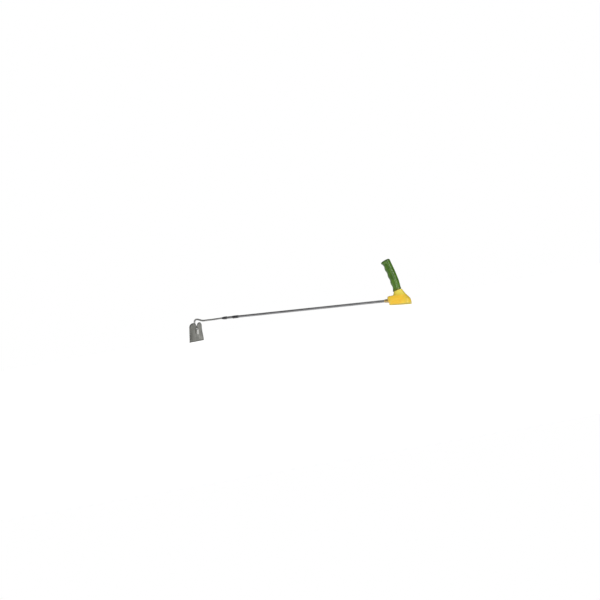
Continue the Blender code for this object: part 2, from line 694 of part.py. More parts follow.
def grip_ring(along, shrink=0.0, palm_shrink=0.0, slope=0.0):
    """The grip's outline at that distance up its axis: grooves in front, a swell behind, flared ends."""
    groove = GROOVE_DEPTH * (0.5 - 0.5 * math.cos(math.tau * (along - FIRST_RIDGE) / GROOVE_PITCH))
    flare = FOOT_FLARE * (1 - ease(along, 0, FLARE_LENGTH))
    sleeve_top = GRIP_LENGTH - CAP_THICKNESS
    flare += TOP_FLARE * ease(along, sleeve_top - FLARE_LENGTH, sleeve_top)
    swell = PALM_SWELL * ease(along, 0, PALM_START)
    centre = grip_point(along, GRIP_BEND * math.sin(math.pi * min(along / GRIP_LENGTH, 1)))
    front = GRIP_FRONT - groove + flare - shrink
    rear = GRIP_REAR + swell + 0.2 * flare - shrink - palm_shrink
    side = GRIP_SIDE + 0.5 * FOOT_FLARE * flare / TOP_FLARE - shrink
    return oval(centre, GRIP_BACK + GRIP_UP * slope, front, rear, side, GRIP_SQUARENESS, GRIP_POINTS)


def build_grip():
    low, high = GAP, GRIP_LENGTH - CAP_THICKNESS
    rings = [grip_ring(low + (high - low) * row / GRIP_ROWS) for row in range(GRIP_ROWS + 1)]
    rings[0] = grip_ring(low, GRIP_FOOT_EDGE)
    grip = add_part("grip_sleeve", loft("grip_sleeve", rings), "green_rubber")
    cut(grip, "bore", loft("bore", core_rings([-BORE_OVERSHOOT, GRIP_LENGTH + BORE_OVERSHOOT], GAP)))
    start = high + GAP
    rings = [grip_ring(start, CAP_FOOT_INSET)]
    for share, inset, palm in CAP_ROUNDING:
        height = start + (GRIP_LENGTH - start) * share
        rings.append(grip_ring(height, inset * MM, palm * MM, CAP_SLOPE * share))
    cap = add_part("grip_cap", loft("grip_cap", rings), "green_cap")
    head_top = GRIP_LENGTH - CAP_SCREW_SINK
    above = grip_point(GRIP_LENGTH + OVERSHOOT)
    seat = grip_point(head_top - SCREW_HEAD_HEIGHT - GAP)
    drill(cap, "screw_hole", grip_point(start - OVERSHOOT), above, SCREW_RADIUS + GAP)
    drill(cap, "screw_sink", seat, above, SCREW_HEAD_RADIUS + GAP, 20)
    add_screw("grip_screw", grip_point(head_top), -GRIP_UP, GRIP_SCREW_LENGTH)


def stand_on_floor():
    """Tilts the tool until its cutting edge and its heel are level, then centres it over the origin."""
    corner_x = sheet_x(BOTTOM_HALF_WIDTH, -BLADE_BOTTOM)
    heel_x = BODY_LEVELS[0][2] * MM
    tool.rotation_euler = (0, math.atan2(BLADE_BOTTOM + cover_height(heel_x), heel_x - corner_x), 0)
    bpy.context.view_layer.update()
    graph = bpy.context.evaluated_depsgraph_get()
    points = []
    for obj in parts.objects:
        evaluated = obj.evaluated_get(graph)
        points += [evaluated.matrix_world @ vert.co for vert in evaluated.data.vertices]
    middle_x = (min(p.x for p in points) + max(p.x for p in points)) / 2
    tool.location = (-middle_x, 0, -min(p.z for p in points))
    bpy.context.view_layer.update()


clear_scene()
parts = new_collection("weeding_hoe")
helpers = new_collection("cutters")
tool = bpy.data.objects.new("tool_axes", None)
parts.objects.link(tool)

build_blade()
build_tang()
build_welds()
build_shaft()
build_nose_ferrule()
build_body()
build_cover()
build_clamp()
build_grip()
parts.objects.unlink(tool)
bpy.context.scene.collection.objects.link(tool)
stand_on_floor()
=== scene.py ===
"""Looks of the long-reach weeding hoe: fine meshes and procedural finishes on its CAD frame.

Pieces are shaped in the tool's own axes, as the CAD is: X runs along the shaft from the blade to the
handle, Z points up the grip, and the origin lies on the shaft's axis straight above the middle of the
blade. tool_axes() gives the matrix that stands them on the floor with the CAD.
"""

import math

import bmesh
import bpy
from mathutils import Matrix, Quaternion, Vector, noise


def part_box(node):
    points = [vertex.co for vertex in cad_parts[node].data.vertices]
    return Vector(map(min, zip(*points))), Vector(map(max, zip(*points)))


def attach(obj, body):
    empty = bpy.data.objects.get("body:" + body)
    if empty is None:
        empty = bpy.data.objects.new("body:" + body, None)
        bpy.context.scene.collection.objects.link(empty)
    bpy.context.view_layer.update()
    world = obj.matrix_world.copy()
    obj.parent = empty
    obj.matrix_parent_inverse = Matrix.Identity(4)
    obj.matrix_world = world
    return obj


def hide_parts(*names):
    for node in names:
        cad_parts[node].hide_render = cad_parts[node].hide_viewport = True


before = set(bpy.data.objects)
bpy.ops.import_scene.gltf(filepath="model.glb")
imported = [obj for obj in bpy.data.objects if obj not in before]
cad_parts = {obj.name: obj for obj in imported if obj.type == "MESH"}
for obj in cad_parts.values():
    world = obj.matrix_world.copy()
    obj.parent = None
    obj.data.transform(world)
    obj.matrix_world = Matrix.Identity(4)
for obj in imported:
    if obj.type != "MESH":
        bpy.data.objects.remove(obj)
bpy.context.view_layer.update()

MM = 0.001
GAP = 0.3 * MM  # air between two pieces that touch on the real tool

# Shaft.
TUBE_RADIUS = 4.0 * MM
TUBE_BORE = 3.2 * MM
TUBE_FRONT = 112 * MM
TUBE_REAR = 751 * MM
TUBE_CHAMFER = 0.4 * MM
ROD_RADIUS = 2.9 * MM
ROD_REAR = 186 * MM
SLEEVE_WALL = 0.6 * MM
SLEEVE_ROUNDING = 0.45 * MM
MOUTH_FRONT = 108 * MM
MOUTH_REAR = 125 * MM
MOUTH_LIP = 3.4 * MM
MOUTH_NOSE = 3.7 * MM
MOUTH_TAPER = 9 * MM
CRIMP_FRONT = 149 * MM
CRIMP_REAR = 170 * MM
CRIMP_SPREAD = 6.2 * MM  # from the sleeve's middle to each of its two grooves
CRIMP_GROOVE = (1.5 * MM, 0.7 * MM, 0.3 * MM)  # half widths at the top and at the floor, and the depth
RIVET_RADIUS = 1.2 * MM
RIVET_HEAD = 2.0 * MM
RIVET_DOME = 0.6 * MM
RIVET_RIM = 0.2 * MM
RIVET_TIP = 0.02 * MM  # the flat left in the middle of each head
RIVET_PLACES = {"rivet_front": 118.5 * MM, "rivet_rear": 159.5 * MM}

# Blade: a sheet that leans, its top towards the handle.
BLADE_THICKNESS = 2.2 * MM
EDGE_THICKNESS = 0.5 * MM
BLADE_BOTTOM = 70.1 * MM
BLADE_SHOULDER = 22.0 * MM
LOBE_TOP = 6.0 * MM
LOBE_SQUARENESS = 0.8
NOTCH_FLOOR = 28.0 * MM
NOTCH_HALF_WIDTH = 4.0 * MM
LOBE_CENTRE = 19.3 * MM
SHOULDER_HALF_WIDTH = 37.6 * MM
BOTTOM_HALF_WIDTH = 44.8 * MM
SIDE_FLARE = 1.4
BEVEL_HEIGHT = 5.5 * MM
BLADE_LEAN = math.tan(math.radians(5.3))
LEAN_PIVOT = 32.2 * MM
BOW_AT_EDGE = 0.3 * MM
BOW_AT_SHOULDER = 3.4 * MM
BOW_POWER = 1.5
DENT_DEPTH = 0.22 * MM
DENT_SCALE = (45, 30)  # across and up the sheet
DENT_FADE = 14 * MM
NOTCH_CORNER = 1.2 * MM
NOTCH_TAPER = 0.999  # keeps the notch's corner inside the lobe's first column
NOTCH_STEPS = 4
LOBE_STEPS = 44
BLADE_ROWS = 64
ROWS_TOWARDS_EDGE = 1.15

# Swan neck: the rod's centreline ahead of the tube, as (x, z) in millimetres. It ends along the sheet.
NECK_ROUTE = (
    (88, -0.5), (70, -1.1), (46, -1.4), (34, -1.5), (26, -0.5), (17, 2.3), (9.5, 4.5), (3.4, 4.9),
    (-1.6, 2.6), (-4.2, -2.0), (-4.9, -7.5), (-3.7, -13), (-1.0, -18), (2.2, -22.6), (4.55, -27),
)
TANG_STANDOFF = BLADE_THICKNESS / 2 + GAP + ROD_RADIUS
TANG_LANDING = 33 * MM
TANG_FOOT = 46 * MM
STRAIGHT_END = MOUTH_FRONT - 10 * MM
WELD_TOP = 30 * MM
WELD_BOTTOM = 45 * MM
WELD_RIPPLES = 9
WELD_ROWS = 90
WELD_OUT = BLADE_THICKNESS / 2 + 0.35 * MM
WELD_ACROSS = 1.7 * MM
WELD_HEIGHT = 3.0 * MM
WELD_WIDTH = 3.7 * MM
WELD_ROUGHNESS = 0.10 * MM

# Handle body.
WALL = 2.6 * MM
HEEL_SLOPE = -2.4
# Level: height, front x, rear x, half width (millimetres), squareness of the outline, tilt in degrees.
BODY_LEVELS = (
    (-15.6, 708.6, 773.6, 15.2, 3.8, HEEL_SLOPE),
    (-14.4, 706.8, 774.3, 16.3, 3.8, HEEL_SLOPE),
    (-8.0, 705.6, 774.0, 16.6, 3.6, -1.0),
    (-2.0, 704.2, 772.8, 16.8, 3.4, -0.5),
    (3.5, 703.0, 770.0, 16.4, 3.3, 0.0),
    (8.5, 702.2, 765.8, 15.6, 3.1, 0.0),
    (11.9, 702.6, 763.0, 14.8, 2.9, 0.0),
    (13.6, 704.8, 761.3, 13.9, 2.8, 0.5),
    (14.8, 709.6, 760.0, 13.1, 2.7, 1.5),
    (16.1, 717.2, 758.6, 12.5, 2.5, 4.0),
    (18.7, 721.0, 756.2, 12.1, 2.4, 8.0),
    (23.2, 722.9, 752.4, 12.1, 2.3, 12.0),
    (28.4, 723.6, 749.3, 12.4, 2.2, 15.5),
)
BODY_POINTS = 200
CAVITY_POINTS = 96
CAVITY_LEVELS = 6
CAVITY_DROP = 3 * MM
CAVITY_ROOF = 9.5 * MM
ROOF_STEP = 1.2 * MM
FERRULE_FRONT = 690.5 * MM
FERRULE_REAR = 713 * MM
FERRULE_RADIUS = 6.1 * MM
FERRULE_NOSE = 4.9 * MM
FERRULE_TAPER = 10 * MM
FERRULE_ROUNDING = 0.5 * MM
FERRULE_GROOVES = (2.6 * MM, 6.6 * MM)  # behind its front end
FERRULE_GROOVE = (0.9 * MM, 0.4 * MM, 0.5 * MM)
PANEL_X = 736 * MM
PANEL_Z = -1.5 * MM
PANEL_HALF_LENGTH = 16 * MM
PANEL_HALF_HEIGHT = 6.2 * MM
PANEL_DEPTH = 0.55 * MM
PANEL_FLAT = 0.88  # share of the panel at its full depth

# Grip.
GRIP_FOOT = Vector((735.2 * MM, 0.0, 28.9 * MM))
GRIP_LEAN = math.radians(17.3)
GRIP_UP = Vector((-math.sin(GRIP_LEAN), 0.0, math.cos(GRIP_LEAN)))
GRIP_BACK = Vector((math.cos(GRIP_LEAN), 0.0, math.sin(GRIP_LEAN)))
GRIP_LENGTH = 98 * MM
GRIP_POINTS = 128
GRIP_ROWS = 200
FOOT_LIP = 0.9 * MM
TOP_LIP = 0.6 * FOOT_LIP
LIP_STEPS = 5
GRIP_FRONT = 12.2 * MM
GRIP_REAR = 12.5 * MM
GRIP_SIDE = 13.0 * MM
GRIP_SQUARENESS = 2.15
GRIP_BEND = 1.9 * MM
PALM_SWELL = 2.2 * MM
PALM_START = 30 * MM
GROOVE_PITCH = 22.7 * MM
FIRST_RIDGE = 2.5 * MM
GROOVE_DEPTH = 1.9 * MM
FOOT_FLARE = 2.0 * MM
TOP_FLARE = 2.4 * MM
FLARE_LENGTH = 7 * MM
CAP_THICKNESS = 4.5 * MM
CAP_SLOPE = math.tan(math.radians(8))
CAP_SEAM = (0.5 * MM, 0.3 * MM)  # the chamfer of its lower edge: inwards and upwards
CAP_INSET = 0.2 * MM
CAP_ROUNDING = 1.5 * MM
CAP_PALM_ROUNDING = 3.5 * MM
CAP_WALL = 0.25  # share of the cap's height below its rounding
CAP_STEPS = 12
CAP_SCREW_SINK = 0.6 * MM
SCREW_RADIUS = 1.2 * MM
SCREW_HEAD_RADIUS = 2.5 * MM
SCREW_HEAD_HEIGHT = 1.5 * MM
CORE_DEPTH = 6.4 * MM
CORE_SIDE = 7.4 * MM
CORE_BACK = 1.0 * MM
CORE_ROOT = -10 * MM
OVERSHOOT = 3 * MM  # how far a cutter reaches past what it cuts

# Camera and light.
CAMERA_PLACE = (1.1912, -2.412, 0.0174)
CAMERA_AZIMUTH = 25.8
CAMERA_ELEVATION = -1.183
CAMERA_ROLL = -10.1
CAMERA_SHIFT = (-0.00033, 0.00067)
CAMERA_LENS = 50
CAMERA_REACH = 200
FLOOR_SIZE = 60
FLOOR_DROP = 0.1 * MM
FLOOR_GLOW = 0.75
ROOM_DIM = 0.08
# Broad lights of the room: direction, cosine at which the light starts, and strength at its middle.
ROOM_LIGHTS = (
    ((0.90, -0.60, 0.25), 0.45, 0.55),
    ((0.0, 0.0, 1.0), 0.3, 0.3),
    ((-0.2, -1.0, 0.2), 0.5, 0.2),
)
# Lamps: name, place, width, height and power. All of them aim at one point on the tool.
LAMPS = (
    ("key", (2.2, -0.9, 1.0), 0.32, 1.5, 11),
    ("top", (0.1, -0.4, 2.2), 1.6, 1.6, 6),
    ("window", (1.5, -2.2, 0.3), 0.4, 0.8, 5),
)
LAMP_TARGET = (0, 0, 0.05)


def tool_axes():
    """The matrix from the tool's axes to the row's, read from where the shaft's tube stands."""
    low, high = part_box("shaft_tube")
    run = TUBE_REAR - TUBE_FRONT - TUBE_CHAMFER
    tilt = 0.0
    for _ in range(5):  # each round brings the tilt nearer, and the fifth changes nothing that shows
        tilt = math.asin((high.z - low.z - 2 * TUBE_RADIUS * math.cos(tilt)) / run)
    sine, cosine = math.sin(tilt), math.cos(tilt)
    x = high.x - TUBE_REAR * cosine - TUBE_RADIUS * sine
    z = low.z + TUBE_REAR * sine + TUBE_RADIUS * cosine
    return Matrix.Translation((x, 0, z)) @ Matrix.Rotation(tilt, 4, "Y"), tilt


TOOL, TILT = tool_axes()


# ---------------------------------------------------------------- meshes


def ease(value, low, high):
    """A smooth step from 0 at low to 1 at high."""
    share = min(max((value - low) / (high - low), 0.0), 1.0)
    return share * share * (3 - 2 * share)


def smooth_route(points, steps):
    """A Catmull-Rom curve through points, which are vectors or tuples of numbers."""
    points = [Vector(point) for point in points]
    padded = [2 * points[0] - points[1], *points, 2 * points[-1] - points[-2]]
    route = []
    for p0, p1, p2, p3 in zip(padded, padded[1:], padded[2:], padded[3:]):
        square, cubic = 2 * p0 - 5 * p1 + 4 * p2 - p3, 3 * p1 - p0 - 3 * p2 + p3
        for step in range(steps):
            t = step / steps
            route.append(p1 + 0.5 * ((p2 - p0) * t + square * t**2 + cubic * t**3))
    return [*route, points[-1]]


def oval(centre, back, front_depth, rear_depth, side, squareness, points):
    """A closed outline of evenly spaced points: its depth runs along back, and its width along Y."""
    dense = []
    samples = 720
    power = 2 / squareness
    for step in range(samples):
        angle = math.tau * step / samples
        along, across = math.cos(angle), math.sin(angle)
        depth = rear_depth if along > 0 else front_depth
        along = math.copysign(abs(along) ** power, along)
        across = math.copysign(abs(across) ** power, across)
        dense.append(centre + back * depth * along + Vector((0, side * across, 0)))
    travelled = [0.0]
    for here, after in zip(dense, [*dense[1:], dense[0]]):
        travelled.append(travelled[-1] + (after - here).length)
    ring, span = [], 0
    for step in range(points):
        goal = travelled[-1] * step / points
        while travelled[span + 1] < goal:
            span += 1
        share = (goal - travelled[span]) / (travelled[span + 1] - travelled[span])
        ring.append(dense[span].lerp(dense[(span + 1) % samples], share))
    return ring


def mesh_of(name, verts, faces):
    """A mesh in the row's axes, its faces turned outwards."""
    mesh = bpy.data.meshes.new(name)
    mesh.from_pydata([TOOL @ Vector(v) for v in verts], [], faces)
    shape = bmesh.new()
    shape.from_mesh(mesh)
    shape.normal_update()
    bmesh.ops.recalc_face_normals(shape, faces=shape.faces)
    shape.to_mesh(mesh)
    shape.free()
    return mesh


def loft(name, rings, hoop=False):
    """A closed solid through rings: with flat ends, or joined end to end as a hoop."""
    count = len(rings[0])
    verts = [point for ring in rings for point in ring]
    faces = []
    spans = len(rings) if hoop else len(rings) - 1
    for level in range(spans):
        low, high = level * count, (level + 1) % len(rings) * count
        for here in range(count):
            after = (here + 1) % count
            faces.append((low + here, low + after, high + after, high + here))
    if not hoop:
        faces.append(tuple(range(count)))
        faces.append(tuple(range(len(verts) - count, len(verts))))
    return mesh_of(name, verts, faces)


def rounded(profile, radius, steps=4):
    """The closed outline with its corners rounded, each by an arc no larger than its sides allow."""
    outline = []
    for before, corner, after in zip([profile[-1], *profile], profile, [*profile[1:], profile[0]]):
        corner = Vector(corner)
        to_before, to_after = Vector(before) - corner, Vector(after) - corner
        reach = min(radius, to_before.length * 0.45, to_after.length * 0.45)
        start = corner + to_before.normalized() * reach
        end = corner + to_after.normalized() * reach
        for step in range(steps + 1):
            t = step / steps
            outline.append(start * (1 - t) ** 2 + corner * 2 * t * (1 - t) + end * t**2)
    return outline


def circle(centre, radius, first, second, sides):
    """Points round a circle that starts along first and turns towards second."""
    first, second = Vector(first), Vector(second)
    angles = (math.tau * step / sides for step in range(sides))
    return [centre + (first * math.cos(angle) + second * math.sin(angle)) * radius for angle in angles]


def turned(name, profile, sides):
    """A hoop round the shaft, turned from a closed outline of (radius, x)."""
    rings = [circle(Vector((x, 0, 0)), radius, (0, 1, 0), (0, 0, 1), sides) for radius, x in profile]
    return loft(name, rings, hoop=True)


def pipe(name, route, radii, sides):
    """A closed round bar along a route in the tool's middle plane."""
    rings = []
    for index, (point, radius) in enumerate(zip(route, radii)):
        before, after = route[max(index - 1, 0)], route[min(index + 1, len(route) - 1)]
        forward = (after - before).normalized()
        rings.append(circle(point, radius, forward.cross(Vector((0, 1, 0))), (0, 1, 0), sides))
    return loft(name, rings)


def cylinder(start, end, radius, sides=32):
    """A closed round cutter from start to end."""
    start, end = Vector(start), Vector(end)
    turn = (end - start).to_track_quat("Z", "Y")
    first, second = turn @ Vector((1, 0, 0)), turn @ Vector((0, 1, 0))
    return loft("cylinder", [circle(place, radius, first, second, sides) for place in (start, end)])


def piece(name, mesh, surface, slot, *nodes, sharp=40):
    """A finished piece of the tool that stands for those CAD nodes. Creases over sharp degrees stay."""
    obj = bpy.data.objects.new(name, mesh)
    bpy.context.scene.collection.objects.link(obj)
    mesh.materials.clear()
    mesh.materials.append(surface)
    mesh.shade_smooth()
    mesh.set_sharp_from_angle(angle=math.radians(sharp))
    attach(obj, "root")
    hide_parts(*nodes)
    return obj


def soften(obj, width, angle):
    """Rounds the edges of a piece that turn by more than angle degrees."""
    bevel = obj.modifiers.new("soft_edges", "BEVEL")
    bevel.width = width
    bevel.segments = 3
    bevel.limit_method = "ANGLE"
    bevel.angle_limit = math.radians(angle)
    bevel.harden_normals = True


def carve(mesh, steps):
    """The mesh after each (operation, other mesh) in turn."""
    base = bpy.data.objects.new("base", mesh)
    bpy.context.scene.collection.objects.link(base)
    others = []
    for operation, other_mesh in steps:
        other = bpy.data.objects.new("other", other_mesh)
        bpy.context.scene.collection.objects.link(other)
        others.append(other)
        modifier = base.modifiers.new("step", "BOOLEAN")
        modifier.operation = operation
        modifier.solver = "EXACT"
        modifier.object = other
    bpy.context.view_layer.update()
    graph = bpy.context.evaluated_depsgraph_get()
    made = bpy.data.meshes.new_from_object(base.evaluated_get(graph))
    for obj in [base, *others]:
        bpy.data.objects.remove(obj)
    return made


# ---------------------------------------------------------------- materials


class Surface:
    """A node material round one Principled shader, with its textures in the tool's axes."""

    def __init__(self, name, lean=0.0):
        self.material = bpy.data.materials.new(name)
        self.material.use_nodes = True
        self.tree = self.material.node_tree
        self.shader = self.tree.nodes["Principled BSDF"]
        coordinates = self.tree.nodes.new("ShaderNodeTexCoord")
        turn = self.tree.nodes.new("ShaderNodeMapping")
        turn.vector_type = "TEXTURE"
        turn.inputs["Location"].default_value = TOOL.translation
        turn.inputs["Rotation"].default_value = (0, TILT + lean, 0)
        self.tree.links.new(coordinates.outputs["Object"], turn.inputs["Vector"])
        self.place = turn.outputs["Vector"]
        self.bump_normal = None

    def set(self, **values):
        for name, value in values.items():
            socket = self.shader.inputs[name.replace("_", " ")]
            socket.default_value = value

    def plug(self, name, output):
        self.tree.links.new(output, self.shader.inputs[name])

    def feed(self, socket, value):
        """Links the socket to another node's output, or sets it to a constant."""
        if isinstance(value, bpy.types.NodeSocket):
            self.tree.links.new(value, socket)
        else:
            socket.default_value = value

    def node(self, kind, inputs=None, **settings):
        made = self.tree.nodes.new(kind)
        for key, value in settings.items():
            setattr(made, key, value)
        for key, value in (inputs or {}).items():
            self.feed(made.inputs[key], value)
        return made

    def stretched(self, scale):
        """Coordinates whose pattern repeats at its own rate along each axis."""
        return self.node("ShaderNodeMapping", {"Vector": self.place, "Scale": scale}).outputs["Vector"]

    def noise(self, scale, detail=4.0, stretch=None, roughness=0.5, distortion=0.0):
        values = {
            "Vector": self.stretched(stretch) if stretch else self.place,
            "Scale": scale,
            "Detail": detail,
            "Roughness": roughness,
            "Distortion": distortion,
        }
        return self.node("ShaderNodeTexNoise", values).outputs["Fac"]

    def cells(self, scale):
        values = {"Vector": self.place, "Scale": scale, "Smoothness": 0.6}
        return self.node("ShaderNodeTexVoronoi", values, feature="SMOOTH_F1").outputs["Distance"]

    def remap(self, value, low, high, to_low=0.0, to_high=1.0):
        """A smooth step from to_low, where the value is low, to to_high, where it is high."""
        values = {"Value": value, "From Min": low, "From Max": high, "To Min": to_low, "To Max": to_high}
        step = self.node("ShaderNodeMapRange", values, interpolation_type="SMOOTHSTEP")
        return step.outputs["Result"]

    def blend(self, share, first, second):
        """From the first colour, where the share is 0, to the second, where it is 1."""
        mix = self.node("ShaderNodeMix", {"Factor": share}, data_type="RGBA")
        for socket, value in ((mix.inputs[6], first), (mix.inputs[7], second)):
            self.feed(socket, (*value, 1.0) if isinstance(value, tuple) else value)
        return mix.outputs[2]

    def maths(self, operation, first, second=0.0):
        node = self.node("ShaderNodeMath", operation=operation)
        self.feed(node.inputs[0], first)
        self.feed(node.inputs[1], second)
        return node.outputs[0]

    def axis(self, name):
        return self.node("ShaderNodeSeparateXYZ", {"Vector": self.place}).outputs[name]

    def base_color(self):
        """What feeds the base colour so far."""
        return self.shader.inputs["Base Color"].links[0].from_socket

    def worn(self):
        """1 along convex edges, 0 on flats and in hollows."""
        return self.remap(self.node("ShaderNodeNewGeometry").outputs["Pointiness"], 0.505, 0.56)

    def bump(self, height, strength, distance):
        values = {"Height": height, "Strength": strength, "Distance": distance}
        if self.bump_normal:
            values["Normal"] = self.bump_normal
        self.bump_normal = self.node("ShaderNodeBump", values).outputs["Normal"]
        self.plug("Normal", self.bump_normal)


def linear(red, green, blue):
    """A display colour of 0 to 255 as linear light."""
    def one(value):
        value /= 255
        return value / 12.92 if value <= 0.04045 else ((value + 0.055) / 1.055) ** 2.4
    return (one(red), one(green), one(blue))


def steel(name, dark, light, rough, grain, grain_stretch, patches):
    """Bare steel: soft patches between two tones, fine drawn or ground lines, and a few tiny pits."""
    s = Surface(name)
    patch = s.remap(s.noise(patches, 5.0, roughness=0.6), 0.32, 0.7)
    lines = s.noise(grain, 3.0, stretch=grain_stretch, roughness=0.7)
    tone = s.blend(patch, dark, light)
    shaded = s.blend(s.remap(lines, 0.3, 0.75, 0.0, 0.35), tone, tuple(c * 0.45 for c in dark))
    s.set(Metallic=1.0)
    s.plug("Base Color", shaded)
    uneven = s.maths("MULTIPLY", s.noise(patches * 2.1, 4.0), 0.22)
    s.plug("Roughness", s.maths("ADD", uneven, rough - 0.08))
    s.bump(lines, 0.25, 0.00006)
    pits = s.remap(s.noise(900.0, 2.0), 0.68, 0.78)
    s.bump(pits, -0.35, 0.00008)
    return s


def lobe_edge(s, across):
    """Close to the height of the lobes' rounded edge, that far across the blade."""
    reach = SHOULDER_HALF_WIDTH - LOBE_CENTRE
    off_centre = s.maths("DIVIDE", s.maths("SUBTRACT", s.maths("ABSOLUTE", across), LOBE_CENTRE), reach)
    left = s.maths("MAXIMUM", s.maths("SUBTRACT", 1.0, s.maths("POWER", off_centre, 2.0)), 0.0)
    dome = s.maths("POWER", left, 0.45)
    return s.maths("ADD", s.maths("MULTIPLY", dome, BLADE_SHOULDER - LOBE_TOP), -BLADE_SHOULDER)


def blade_surface():
    """Pressed sheet: drawn lines up and down, a ground cutting edge, and painted shade: darker towards
    its left side and in a dark band round the lobes' rim.
    """
    dark, light = linear(132, 132, 127), linear(162, 162, 156)
    s = steel("blade_steel", dark, light, 0.42, 420.0, (1.0, 1.0, 0.06), 42.0)
    height, across = s.axis("Z"), s.axis("Y")
    base = s.base_color()
    streaks = s.remap(s.noise(190.0, 3.0, stretch=(1.0, 1.0, 0.03)), 0.42, 0.62, 0.0, 0.4)
    toned = s.blend(streaks, base, linear(96, 97, 92))
    # painted shade: the sheet darkens towards its left side (-Y)
    painted_side_shade = s.remap(across, -6 * MM, -30 * MM, 0.0, 0.3)
    toned = s.blend(painted_side_shade, toned, linear(94, 95, 90))
    # painted shade: a dark band just below the lobes' rounded rim
    painted_rim_shade = s.remap(s.maths("SUBTRACT", lobe_edge(s, across), height), 1.4 * MM, 3.8 * MM, 0.95, 0.0)
    toned = s.blend(painted_rim_shade, toned, linear(40, 40, 38))
    lines = s.noise(700.0, 2.0, stretch=(1.0, 0.04, 1.0))
    bevel_top = BEVEL_HEIGHT - BLADE_BOTTOM
    ground = s.remap(height, bevel_top + 0.4 * MM, bevel_top - 0.6 * MM, 0.0, 0.6)
    toned = s.blend(ground, toned, s.blend(lines, linear(98, 98, 94), linear(134, 134, 130)))
    # darker along the lowest 3 mm of the cutting edge
    dark_edge_band = s.remap(height, 3.0 * MM - BLADE_BOTTOM, 1.8 * MM - BLADE_BOTTOM, 0.0, 0.9)
    toned = s.blend(dark_edge_band, toned, s.blend(lines, linear(52, 52, 50), linear(76, 76, 73)))
    stain = s.remap(s.noise(60.0, 6.0, distortion=1.2), 0.56, 0.74, 0.0, 0.35)
    s.plug("Base Color", s.blend(stain, toned, linear(104, 98, 88)))
    return s.material


def rod_surface():
    """Drawn bar, with a painted highlight: brighter along its foot beside the welds."""
    dark, light = linear(140, 140, 138), linear(168, 168, 166)
    s = steel("rod_steel", dark, light, 0.30, 380.0, (0.05, 1.0, 1.0), 30.0)
    # painted highlight: the rod's foot is brighter below the swan neck's bend
    foot = s.remap(s.axis("Z"), -28 * MM, -33 * MM, 0.0, 0.8)
    s.plug("Base Color", s.blend(foot, s.base_color(), linear(212, 212, 208)))
    return s.material


def tube_surface():
    """Drawn tube, its fine lines running along it."""
    dark, light = linear(128, 128, 129), linear(150, 150, 152)
    return steel("tube_steel", dark, light, 0.28, 520.0, (0.03, 1.0, 1.0), 18.0).material


def weld_surface():
    """Brushed weld metal with a faint heat tint."""
    dark, light = linear(158, 158, 154), linear(202, 201, 196)
    s = steel("weld_steel", dark, light, 0.55, 300.0, (1.0, 1.0, 1.0), 240.0)
    s.set(Metallic=0.3)
    tint = s.remap(s.noise(170.0, 3.0), 0.45, 0.7, 0.0, 0.4)
    s.plug("Base Color", s.blend(tint, s.base_color(), linear(150, 140, 130)))
    return s.material


def dark_surface():
    """Blackened steel, rubbed bright on its edges."""
    s = Surface("dark_steel")
    mottled = s.blend(s.remap(s.noise(240.0, 5.0), 0.35, 0.7), linear(58, 58, 60), linear(84, 84, 86))
    s.plug("Base Color", s.blend(s.maths("MULTIPLY", s.worn(), 0.7), mottled, linear(150, 150, 150)))
    s.plug("Roughness", s.remap(s.noise(500.0, 3.0), 0.3, 0.7, 0.34, 0.52))
    s.set(Metallic=0.85)
    s.bump(s.noise(1400.0, 3.0), 0.2, 0.00005)
    return s.material


def ferrule_surface():
    """Dull tan-gold metal with fine lines turned round it."""
    s = Surface("ferrule")
    tone = s.blend(s.remap(s.noise(160.0, 5.0), 0.3, 0.7), linear(150, 126, 82), linear(192, 170, 120))
    lines = s.noise(900.0, 2.0, stretch=(1.0, 0.08, 0.08))
    s.plug("Base Color", s.blend(s.remap(lines, 0.4, 0.8, 0.0, 0.35), tone, linear(104, 86, 54)))
    s.plug("Roughness", s.remap(s.noise(300.0, 3.0), 0.3, 0.7, 0.28, 0.46))
    s.set(Metallic=0.75)
    s.bump(lines, 0.2, 0.00006)
    return s.material


def zinc_surface():
    """Zinc plate, faintly spangled."""
    s = Surface("zinc")
    tone = s.blend(s.remap(s.noise(500.0, 4.0), 0.3, 0.7), linear(160, 160, 158), linear(205, 205, 206))
    s.plug("Base Color", tone)
    s.plug("Roughness", s.remap(s.noise(700.0, 3.0), 0.3, 0.7, 0.22, 0.42))
    s.set(Metallic=1.0)
    s.bump(s.noise(1500.0, 3.0), 0.15, 0.00004)
    return s.material


